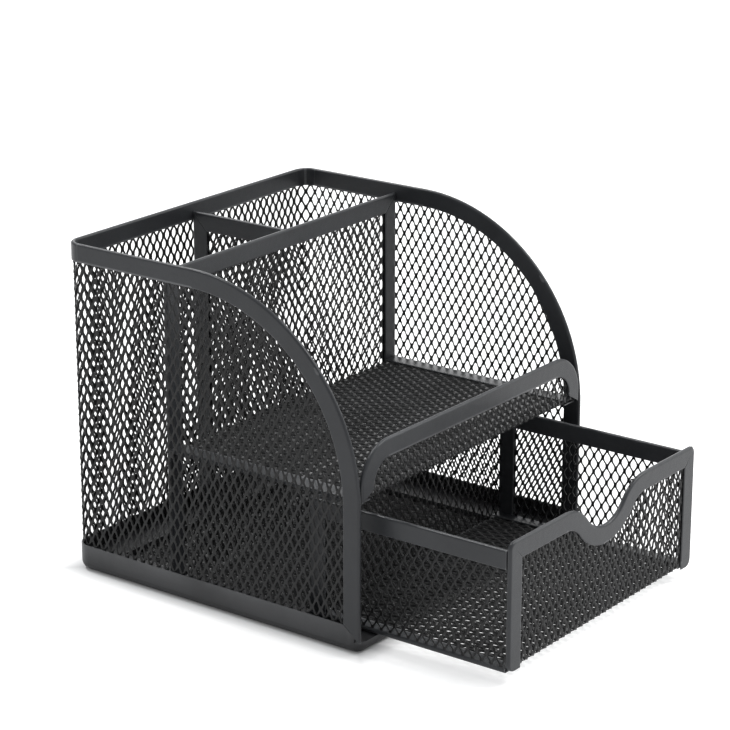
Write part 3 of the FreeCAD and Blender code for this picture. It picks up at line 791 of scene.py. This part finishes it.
def back_strip():
    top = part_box("back_rim")[1].z
    turn = half_width - BACK_CORNER_RADIUS
    plan = [
        (-half_width, corner_y),
        (-turn, back_y, -BACK_CORNER_RADIUS),
        (turn, back_y),
        (half_width, corner_y, -BACK_CORNER_RADIUS),
    ]
    # The fold is on top, so a point's distance from the fold is how far down it lies.
    middle = rim_thickness / 2

    def upright_station(point, outward):
        def at(down, height):
            place = point + outward * (height - middle)
            return place.x, place.y, top - down
        return at

    stations = []
    for number, stretch in enumerate(traced(plan)):
        for point, along in stretch.points[1 if number else 0:]:
            stations.append(upright_station(point, Vector((-along.y, along.x))))
    swept_strip("back_strip", "back_rim", "housing", stations, strip_section(STRIP_WIDTH),
                lambda x, y, z: (x, y, z))


def arch(half, top, foot_z, radius=None):
    """Outline of an arch open at the foot, from left to right, with square or rounded corners."""
    if radius is None:
        return [(-half, foot_z), (-half, top), (half, top), (half, foot_z)]
    return [
        (-half, foot_z),
        (-half, top - radius),
        (radius - half, top, -radius),
        (half - radius, top),
        (half, top - radius, -radius),
        (half, foot_z),
    ]


def divider():
    low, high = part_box("divider_frame")
    middle = (low.y + high.y) / 2
    strip("divider_strip", "divider_frame", "housing", arch(high.x, high.z, low.z), upright_y(middle))
    low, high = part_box("divider_mesh")
    panel("divider", "housing", (low.x, low.z), (high.x, high.z), upright_y(middle), DIVIDER_TURN)


def pen_partition():
    low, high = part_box("pen_partition_frame")
    corners = [(low.y, high.z), (high.y, high.z), (high.y, low.z)]
    strip("pen_partition_strip", "pen_partition_frame", "housing", corners, upright_x(0))
    low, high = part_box("pen_partition_mesh")
    panel("pen_partition", "housing", (low.y, low.z), (high.y, high.z), upright_x(0), PARTITION_TURN)


def note_tray():
    low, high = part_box("note_lip_rim")
    middle = (low.y + high.y) / 2
    corners = arch(high.x, high.z, low.z, LIP_CORNER_RADIUS)
    strip("note_lip_strip", "note_lip_rim", "housing", corners, upright_y(middle),
          slant=LIP_FOOT_RISE / STRIP_WIDTH)

    mesh_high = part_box("note_lip_mesh")[1]
    inner_radius = LIP_CORNER_RADIUS - (high.z - mesh_high.z)

    def rounded(across, height):
        past = np.abs(across) - (mesh_high.x - inner_radius)
        above = height - (mesh_high.z - inner_radius)
        inside = (past < 0) | (above < 0) | (past ** 2 + above ** 2 < inner_radius ** 2)
        return inside & (np.abs(across) < mesh_high.x + OPENING_PITCH)

    bent_panels("note_lip", "note_shelf", "housing", middle, LIP_BEND_RADIUS, rounded, LIP_TURN, SHELF_TURN)

    for word in ("left", "right"):
        straight_strip(f"note_shelf_strip_{word}", f"note_shelf_rail_{word}", "housing", STRIP_WIDTH)


def straight_strip(name, node, body, width):
    """A strip that lies flat and runs front to back, its fold on the outer side."""
    low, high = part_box(node)
    outer = high.x if high.x > 0 else low.x
    corners = [(outer, low.y), (outer, high.y)]
    inner_side = 1 if outer > 0 else -1
    strip(name, node, body, corners, level_z((low.z + high.z) / 2), inner_side, width)


def base():
    low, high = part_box("floor_mesh")
    panel("floor", "housing", (low.x, low.y), (high.x, high.y), level_z((low.z + high.z) / 2), FLOOR_TURN)
    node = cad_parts["base_frame"]
    node.data.materials.clear()
    node.data.materials.append(FINISHES["base"])


# ---------------------------------------------------------------- drawer

def notched(half, top, foot_z):
    """Outline of the drawer front, left foot to right foot, over the finger notch."""
    reach = HUMP_RADIUS + NOTCH_RADIUS
    drop = reach - NOTCH_DEPTH
    hump_x = math.sqrt(reach ** 2 - drop ** 2)
    hump_z, notch_z = top - HUMP_RADIUS, top - NOTCH_DEPTH + NOTCH_RADIUS
    share = HUMP_RADIUS / reach
    meet_x, meet_z = hump_x * (1 - share), hump_z + (notch_z - hump_z) * share
    bend = DRAWER_CORNER_RADIUS
    return [
        (-half, foot_z),
        (-half, top - bend),
        (bend - half, top, -bend),
        (-hump_x, top),
        (-meet_x, meet_z, -HUMP_RADIUS),
        (meet_x, meet_z, NOTCH_RADIUS),
        (hump_x, top, -HUMP_RADIUS),
        (half - bend, top),
        (half, top - bend, -bend),
        (half, foot_z),
    ]


def drawer_face():
    low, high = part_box("drawer_front_rim")
    middle = (low.y + high.y) / 2
    outline = notched(high.x, high.z, low.z)
    strip("drawer_front_strip", "drawer_front_rim", "drawer", outline, upright_y(middle),
          foot_radius=DRAWER_CORNER_RADIUS, crease=DRAWER_CORNER_RADIUS)

    mesh_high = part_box("drawer_front_mesh")[1]
    floor_low, floor_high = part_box("drawer_floor_mesh")
    bend_radius = DRAWER_BEND_RADIUS - (floor_high.z - floor_low.z) / 2
    inset = high.x - mesh_high.x
    notch_z = high.z - NOTCH_DEPTH + NOTCH_RADIUS
    foot_top = low.z + DRAWER_CORNER_RADIUS

    def beside_notch(across, height):
        under_notch = np.hypot(across, height - notch_z) > NOTCH_RADIUS + inset
        off_feet = (height > foot_top) | (np.abs(across) < high.x - STRIP_WIDTH / 2)
        return under_notch & off_feet & (np.abs(across) < mesh_high.x + OPENING_PITCH)

    bent_panels("drawer_front", "drawer_floor", "drawer", middle, bend_radius, beside_notch,
                DRAWER_FRONT_TURN, DRAWER_FLOOR_TURN)


def drawer_sides():
    for word in ("left", "right"):
        low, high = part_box(f"drawer_{word}_rim")
        middle = (low.x + high.x) / 2
        corners = [(low.y, high.z), (high.y, high.z), (high.y, low.z)]
        strip(f"drawer_{word}_strip", f"drawer_{word}_rim", "drawer", corners, upright_x(middle))
        low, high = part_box(f"drawer_{word}_mesh")
        panel(f"drawer_{word}", "drawer", (low.y, low.z - SIDE_MESH_TUCK), (high.y, high.z),
              upright_x(middle), DRAWER_SIDE_TURN)
        straight_strip(f"drawer_{word}_hem_strip", f"drawer_{word}_hem", "drawer", HEM_WIDTH)


def drawer_back():
    low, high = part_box("drawer_back_rim")
    middle = (low.y + high.y) / 2
    corners = [(low.x, high.z), (high.x, high.z)]
    strip("drawer_back_strip", "drawer_back_rim", "drawer", corners, upright_y(middle))
    low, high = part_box("drawer_back_mesh")
    panel("drawer_back", "drawer", (low.x, low.z), (high.x, high.z), upright_y(middle), DRAWER_BACK_TURN)


# ---------------------------------------------------------------- floor, light and camera

FLOOR_REACH = 12.0
FLOOR_TINT, FLOOR_PALE = (0.50, 0.50, 0.50, 1), (0.54, 0.54, 0.54, 1)
FLOOR_CLOUDS_PER_METRE = 3.0
# The floor glows as painted light, to keep it white; under the housing the glow is off, a painted shade.
FLOOR_GLOW = 0.58
GLOW_BAND = (-4 * MM, 8 * MM)   # from the edge of the housing outwards, where the painted shade under the housing gives way to the glow
DARK, LIT = (0.0, 0.0, 0.0, 1), (1.0, 1.0, 1.0, 1)

SKY_TINT, SKY_STRENGTH = (0.96, 0.98, 1.0, 1), 0.75
# The suns: the way towards each, its strength and how many degrees wide it is.
SUNS = {
    "key": (Vector((0.46, -0.42, 0.81)), 2.2, 22),
    "backdrop": (Vector((0.76, 0.57, 0.40)), 0.45, 30),
    "folds": (Vector((0.02, 0.57, 0.82)), 1.9, 14),
}
LOW_PANEL_PLACE = (0.42, -0.34, 0.32)
LOW_PANEL_POWER = 1.5
LOW_PANEL_SIZE = 0.25

CAMERA_AZIMUTH = math.radians(-53.038)
CAMERA_HEIGHT = math.radians(18.278)
CAMERA_PLACE = Vector((-0.66278, -0.48865, 0.34398))
CAMERA_LENS = 130.276
CAMERA_SENSOR = 36.0
CAMERA_REACH = 50


def pale_floor():
    """A matt floor with a painted glow, switched off under the housing to paint shade there."""
    finish = Finish("pale_floor")
    mottle = finish.noise(FLOOR_CLOUDS_PER_METRE)
    centre_y = (front_y + back_y) / 2
    across = finish.axis("X").size() - half_width
    along = (finish.axis("Y") - centre_y).size() - (back_y - centre_y)
    # Painted shade: 0 under the housing, where the glow is switched off, and 1 outside it.
    outside = across.larger(along).within(*GLOW_BAND)
    finish.set(
        Base_Color=finish.blend(mottle, FLOOR_TINT, FLOOR_PALE),
        Roughness=0.9,
        Emission_Color=finish.blend(outside, DARK, LIT),
        Emission_Strength=FLOOR_GLOW,
    )
    mesh = bpy.data.meshes.new("floor")
    reach = FLOOR_REACH
    corners = [(-reach, -reach, 0), (reach, -reach, 0), (reach, reach, 0), (-reach, reach, 0)]
    mesh.from_pydata(corners, [], [(0, 1, 2, 3)])
    floor = linked("studio_floor", mesh)
    floor.data.materials.append(finish.material)


def studio_light():
    world = bpy.data.worlds.new("studio")
    world.use_nodes = True
    background = world.node_tree.nodes["Background"]
    background.inputs["Color"].default_value = SKY_TINT
    background.inputs["Strength"].default_value = SKY_STRENGTH
    bpy.context.scene.world = world

    for name, (towards, strength, spread) in SUNS.items():
        lamp = bpy.data.lights.new(name, "SUN")
        lamp.energy = strength
        lamp.angle = math.radians(spread)
        sun = linked(name, lamp)
        sun.rotation_euler = towards.to_track_quat("Z", "Y").to_euler()

    lamp = bpy.data.lights.new("low_panel", "AREA")
    lamp.energy = LOW_PANEL_POWER
    lamp.size = LOW_PANEL_SIZE
    linked("low_panel", lamp).location = LOW_PANEL_PLACE

    bpy.context.scene.view_settings.view_transform = "Standard"


def camera():
    data = bpy.data.cameras.new("camera")
    data.lens = CAMERA_LENS
    data.sensor_width = CAMERA_SENSOR
    data.clip_end = CAMERA_REACH
    level = math.cos(CAMERA_HEIGHT)
    backwards = Vector((math.sin(CAMERA_AZIMUTH) * level, -math.cos(CAMERA_AZIMUTH) * level,
                        math.sin(CAMERA_HEIGHT)))
    eye = linked("camera", data)
    eye.rotation_euler = backwards.to_track_quat("Z", "Y").to_euler()
    eye.location = CAMERA_PLACE
    bpy.context.scene.camera = eye


side_strips()
back_strip()
wrap_panels()
divider()
pen_partition()
note_tray()
base()
drawer_face()
drawer_sides()
drawer_back()
pale_floor()
studio_light()
camera()
